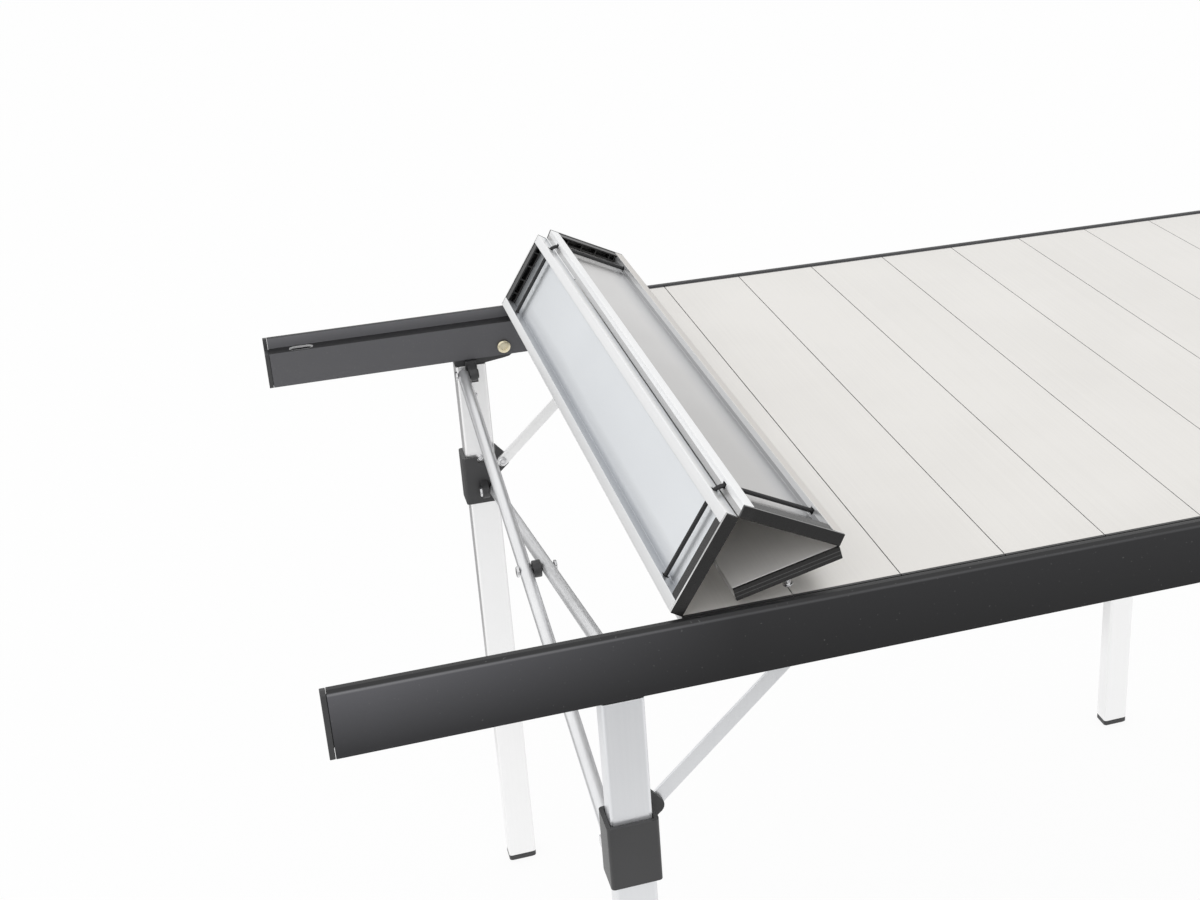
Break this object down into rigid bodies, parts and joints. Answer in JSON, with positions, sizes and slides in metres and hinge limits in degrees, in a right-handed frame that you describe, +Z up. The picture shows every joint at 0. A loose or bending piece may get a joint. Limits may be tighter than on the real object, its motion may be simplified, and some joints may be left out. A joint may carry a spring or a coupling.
{
  "type": "folding camping table",
  "caption": "Roll-top camping table with a slatted aluminium deck, black rails, silver folding legs, crossed rods and flat braces, partly rolled up",
  "frame": {"origin": "On the ground under the middle of the table.", "axes": "+X along the rails towards the flat end of the deck, +Y from the near rail to the far rail, +Z up."},
  "size_m": [1.1844, 0.7078, 0.7791],
  "materials": {
    "black_rail": "matte black anodised aluminium",
    "silver_aluminium": "satin silver anodised",
    "champagne_aluminium": "fine brushed, warm light grey",
    "black_plastic": "moulded black plastic",
    "brass_bolt": "yellow-plated steel"
  },
  "bodies": {
    "near_rail": {"near_rail": "black_rail", "near_rail_left_cap": "black_plastic", "near_rail_right_cap": "black_plastic", "near_left_hinge_bolt": "brass_bolt", "near_right_hinge_bolt": "brass_bolt"},
    "far_rail": {"far_rail": "black_rail", "far_rail_left_cap": "black_plastic", "far_rail_right_cap": "black_plastic", "far_left_hinge_bolt": "brass_bolt", "far_right_hinge_bolt": "brass_bolt"},
    "near_left_leg": {"near_left_leg": "silver_aluminium", "near_left_foot": "black_plastic", "near_left_leg_head": "black_plastic"},
    "near_left_collar": {"near_left_collar": "black_plastic"},
    "near_left_brace": {"near_left_brace": "silver_aluminium"},
    "near_right_leg": {"near_right_leg": "silver_aluminium", "near_right_foot": "black_plastic", "near_right_leg_head": "black_plastic"},
    "near_right_collar": {"near_right_collar": "black_plastic"},
    "near_right_brace": {"near_right_brace": "silver_aluminium"},
    "far_left_leg": {"far_left_leg": "silver_aluminium", "far_left_foot": "black_plastic", "far_left_leg_head": "black_plastic"},
    "far_left_collar": {"far_left_collar": "black_plastic"},
    "far_left_brace": {"far_left_brace": "silver_aluminium"},
    "far_right_leg": {"far_right_leg": "silver_aluminium", "far_right_foot": "black_plastic", "far_right_leg_head": "black_plastic"},
    "far_right_collar": {"far_right_collar": "black_plastic"},
    "far_right_brace": {"far_right_brace": "silver_aluminium"},
    "left_inner_rod": {"left_inner_rod": "silver_aluminium", "left_scissor_pin": "black_plastic"},
    "left_outer_rod": {"left_outer_rod": "silver_aluminium"},
    "right_inner_rod": {"right_inner_rod": "silver_aluminium", "right_scissor_pin": "black_plastic"},
    "right_outer_rod": {"right_outer_rod": "silver_aluminium"},
    "slat_01": {"slat_01": "champagne_aluminium", "slat_01_near_cap": "black_plastic", "slat_01_far_cap": "black_plastic", "left_near_locating_pin": "silver_aluminium", "left_far_locating_pin": "silver_aluminium"},
    "slat_02": {"slat_02": "champagne_aluminium", "slat_02_near_cap": "black_plastic", "slat_02_far_cap": "black_plastic"},
    "slat_03": {"slat_03": "champagne_aluminium", "slat_03_near_cap": "black_plastic", "slat_03_far_cap": "black_plastic"},
    "slat_04": {"slat_04": "champagne_aluminium"},
    "slat_05": {"slat_05": "champagne_aluminium"},
    "slat_06": {"slat_06": "champagne_aluminium"},
    "slat_07": {"slat_07": "champagne_aluminium"},
    "slat_08": {"slat_08": "champagne_aluminium"},
    "slat_09": {"slat_09": "champagne_aluminium"},
    "slat_10": {"slat_10": "champagne_aluminium"},
    "slat_11": {"slat_11": "champagne_aluminium"},
    "slat_12": {"slat_12": "champagne_aluminium"},
    "slat_13": {"slat_13": "champagne_aluminium"},
    "slat_14": {"slat_14": "champagne_aluminium", "right_near_locating_pin": "silver_aluminium", "right_far_locating_pin": "silver_aluminium"}
  },
  "joints": [
    {"name": "deck_lift_frame_close", "type": "slide", "parent": "near_rail", "child": "slat_04", "axis": [0, 0, 1], "range_m": [0, 0.92]},
    {"name": "fold_left_legs", "type": "hinge", "parent": "near_rail", "child": "near_left_leg", "pos_m": [-0.3507, -0.35, 0.662], "axis": [0, -1, 0], "range_deg": [0, 90]},
    {"name": "fold_right_legs", "type": "hinge", "parent": "near_rail", "child": "near_right_leg", "pos_m": [0.3282, -0.35, 0.662], "axis": [0, 1, 0], "range_deg": [0, 90]},
    {"name": "left_inner_rod_turn", "type": "hinge", "parent": "near_left_leg", "child": "left_inner_rod", "pos_m": [-0.3772, -0.315, 0.64], "axis": [-1, 0, 0], "range_deg": [0, 58.2]},
    {"name": "left_crossing_turn", "type": "hinge", "parent": "left_inner_rod", "child": "left_outer_rod", "pos_m": [-0.3872, 0, 0.571], "axis": [1, 0, 0], "range_deg": [0, 116.4]},
    {"name": "near_left_collar_turn", "type": "hinge", "parent": "left_outer_rod", "child": "near_left_collar", "pos_m": [-0.3972, -0.315, 0.502], "axis": [-1, 0, 0], "range_deg": [0, 58.2]},
    {"name": "far_left_collar_turn", "type": "hinge", "parent": "left_inner_rod", "child": "far_left_collar", "pos_m": [-0.3772, 0.315, 0.502], "axis": [1, 0, 0], "range_deg": [0, 58.2]},
    {"name": "near_left_brace_swing", "type": "hinge", "parent": "near_left_collar", "child": "near_left_brace", "pos_m": [-0.3647, -0.3228, 0.532], "axis": [0, 1, 0], "range_deg": [0, 129]},
    {"name": "far_left_brace_swing", "type": "hinge", "parent": "far_left_collar", "child": "far_left_brace", "pos_m": [-0.3647, 0.3228, 0.532], "axis": [0, 1, 0], "range_deg": [0, 129]},
    {"name": "right_inner_rod_turn", "type": "hinge", "parent": "near_right_leg", "child": "right_inner_rod", "pos_m": [0.4027, -0.315, 0.64], "axis": [-1, 0, 0], "range_deg": [0, 58.2]},
    {"name": "right_crossing_turn", "type": "hinge", "parent": "right_inner_rod", "child": "right_outer_rod", "pos_m": [0.4127, 0, 0.571], "axis": [1, 0, 0], "range_deg": [0, 116.4]},
    {"name": "near_right_collar_turn", "type": "hinge", "parent": "right_outer_rod", "child": "near_right_collar", "pos_m": [0.4227, -0.315, 0.502], "axis": [-1, 0, 0], "range_deg": [0, 58.2]},
    {"name": "far_right_collar_turn", "type": "hinge", "parent": "right_inner_rod", "child": "far_right_collar", "pos_m": [0.4027, 0.315, 0.502], "axis": [1, 0, 0], "range_deg": [0, 58.2]},
    {"name": "near_right_brace_swing", "type": "hinge", "parent": "near_right_collar", "child": "near_right_brace", "pos_m": [0.3902, -0.3228, 0.532], "axis": [0, -1, 0], "range_deg": [0, 129]},
    {"name": "far_right_brace_swing", "type": "hinge", "parent": "far_right_collar", "child": "far_right_brace", "pos_m": [0.3902, 0.3228, 0.532], "axis": [0, -1, 0], "range_deg": [0, 129]},
    {"name": "far_left_leg_turn", "type": "hinge", "parent": "left_outer_rod", "child": "far_left_leg", "pos_m": [-0.3972, 0.315, 0.64], "axis": [-1, 0, 0], "range_deg": [0, 58.2]},
    {"name": "far_rail_left_turn", "type": "hinge", "parent": "far_left_leg", "child": "far_rail", "pos_m": [-0.3507, 0.35, 0.662], "axis": [0, 1, 0], "range_deg": [0, 90]},
    {"name": "far_right_leg_fold", "type": "hinge", "parent": "far_rail", "child": "far_right_leg", "pos_m": [0.3282, 0.35, 0.662], "axis": [0, 1, 0], "range_deg": [0, 90]},
    {"name": "unroll", "type": "hinge", "parent": "slat_04", "child": "slat_03", "pos_m": [-0.3384, 0, 0.699], "axis": [0, -1, 0], "range_deg": [0, 122.5]},
    {"name": "slat_02_unroll", "type": "hinge", "parent": "slat_03", "child": "slat_02", "pos_m": [-0.29294, 0, 0.77035], "axis": [0, -1, 0], "range_deg": [0, 84.15]},
    {"name": "slat_01_unroll", "type": "hinge", "parent": "slat_02", "child": "slat_01", "pos_m": [-0.2173, 0, 0.73247], "axis": [0, -1, 0], "range_deg": [0, 140.45]},
    {"name": "slat_05_roll_up", "type": "hinge", "parent": "slat_04", "child": "slat_05", "pos_m": [-0.2538, 0, 0.699], "axis": [0, -1, 0], "range_deg": [0, 24]},
    {"name": "slat_06_roll_up", "type": "hinge", "parent": "slat_05", "child": "slat_06", "pos_m": [-0.1692, 0, 0.699], "axis": [0, -1, 0], "range_deg": [0, 24]},
    {"name": "slat_07_roll_up", "type": "hinge", "parent": "slat_06", "child": "slat_07", "pos_m": [-0.0846, 0, 0.699], "axis": [0, -1, 0], "range_deg": [0, 24]},
    {"name": "slat_08_roll_up", "type": "hinge", "parent": "slat_07", "child": "slat_08", "pos_m": [0, 0, 0.699], "axis": [0, -1, 0], "range_deg": [0, 24]},
    {"name": "slat_09_roll_up", "type": "hinge", "parent": "slat_08", "child": "slat_09", "pos_m": [0.0846, 0, 0.699], "axis": [0, -1, 0], "range_deg": [0, 24]},
    {"name": "slat_10_roll_up", "type": "hinge", "parent": "slat_09", "child": "slat_10", "pos_m": [0.1692, 0, 0.699], "axis": [0, -1, 0], "range_deg": [0, 24]},
    {"name": "slat_11_roll_up", "type": "hinge", "parent": "slat_10", "child": "slat_11", "pos_m": [0.2538, 0, 0.699], "axis": [0, -1, 0], "range_deg": [0, 24]},
    {"name": "slat_12_roll_up", "type": "hinge", "parent": "slat_11", "child": "slat_12", "pos_m": [0.3384, 0, 0.699], "axis": [0, -1, 0], "range_deg": [0, 24]},
    {"name": "slat_13_roll_up", "type": "hinge", "parent": "slat_12", "child": "slat_13", "pos_m": [0.423, 0, 0.699], "axis": [0, -1, 0], "range_deg": [0, 24]},
    {"name": "slat_14_roll_up", "type": "hinge", "parent": "slat_13", "child": "slat_14", "pos_m": [0.5076, 0, 0.699], "axis": [0, -1, 0], "range_deg": [0, 24]}
  ],
  "couplings": [
    {"joint": "left_inner_rod_turn", "follows": "deck_lift_frame_close", "rad_per_m": 1.104},
    {"joint": "left_crossing_turn", "follows": "deck_lift_frame_close", "rad_per_m": 2.208},
    {"joint": "near_left_collar_turn", "follows": "deck_lift_frame_close", "rad_per_m": 1.104},
    {"joint": "far_left_collar_turn", "follows": "deck_lift_frame_close", "rad_per_m": 1.104},
    {"joint": "near_left_brace_swing", "follows": "fold_left_legs", "ratio": 1.43},
    {"joint": "far_left_brace_swing", "follows": "fold_left_legs", "ratio": 1.43},
    {"joint": "right_inner_rod_turn", "follows": "deck_lift_frame_close", "rad_per_m": 1.104},
    {"joint": "right_crossing_turn", "follows": "deck_lift_frame_close", "rad_per_m": 2.208},
    {"joint": "near_right_collar_turn", "follows": "deck_lift_frame_close", "rad_per_m": 1.104},
    {"joint": "far_right_collar_turn", "follows": "deck_lift_frame_close", "rad_per_m": 1.104},
    {"joint": "near_right_brace_swing", "follows": "fold_right_legs", "ratio": 1.43},
    {"joint": "far_right_brace_swing", "follows": "fold_right_legs", "ratio": 1.43},
    {"joint": "far_left_leg_turn", "follows": "deck_lift_frame_close", "rad_per_m": 1.104},
    {"joint": "far_rail_left_turn", "follows": "fold_left_legs", "ratio": 1},
    {"joint": "far_right_leg_fold", "follows": "fold_right_legs", "ratio": 1},
    {"joint": "slat_02_unroll", "follows": "unroll", "ratio": 0.68653},
    {"joint": "slat_01_unroll", "follows": "unroll", "ratio": 1.1462}
  ]
}
